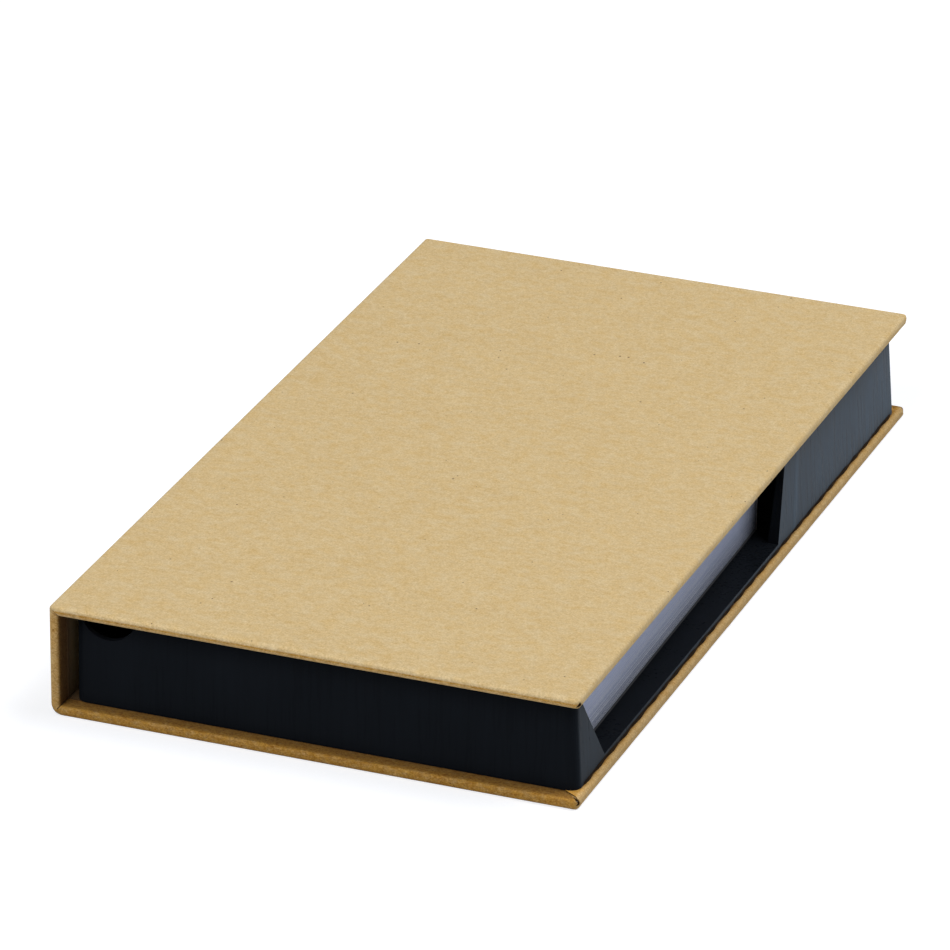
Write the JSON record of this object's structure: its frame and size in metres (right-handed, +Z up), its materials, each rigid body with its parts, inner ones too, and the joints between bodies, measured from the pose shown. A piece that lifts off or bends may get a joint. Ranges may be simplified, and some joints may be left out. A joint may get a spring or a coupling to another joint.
{
  "type": "memo pad holder",
  "caption": "Book-style case of kraft-covered boards that opens at two paper folds, with a moulded tray fixed inside for a memo pad, a pen and small notes.",
  "frame": {"origin": "under the middle of the closed case, on the surface it stands on", "axes": "+X to the open fore-edge with the spine on -X, -Y to the end with the pen notch, +Z up"},
  "size_m": [0.1, 0.18, 0.0215],
  "materials": {
    "kraft_paper": "uncoated brown kraft with fine fibres",
    "liner_paper": "uncoated brown kraft",
    "grey_board": "raw grey board",
    "tray_plastic": "smooth black moulding, satin gloss",
    "glue": "set hot-melt glue",
    "pad_paper": "blank white sheets",
    "pad_board": "raw grey card",
    "binding_glue": "white padding glue"
  },
  "bodies": {
    "base": {"base_board": "grey_board", "base_wrap": "kraft_paper", "base_liner": "liner_paper", "lower_fold": "kraft_paper", "tray": "tray_plastic", "tray_glue": "glue", "pad_sheets": "pad_paper", "pad_backing": "pad_board", "pad_binding": "binding_glue"},
    "spine": {"spine_board": "grey_board", "spine_wrap": "kraft_paper", "spine_liner": "liner_paper", "upper_fold": "kraft_paper"},
    "lid": {"lid_board": "grey_board", "lid_wrap": "kraft_paper", "lid_liner": "liner_paper"}
  },
  "joints": [
    {"name": "spine_hinge", "type": "hinge", "parent": "base", "child": "spine", "pos_m": [-0.04936, 0, 0.00064], "axis": [0, -1, 0], "range_deg": [0, 90], "deforming": ["lower_fold"]},
    {"name": "lid_hinge", "type": "hinge", "parent": "spine", "child": "lid", "pos_m": [-0.04977, 0, 0.02127], "axis": [0, -1, 0], "range_deg": [0, 90], "deforming": ["upper_fold"]}
  ]
}
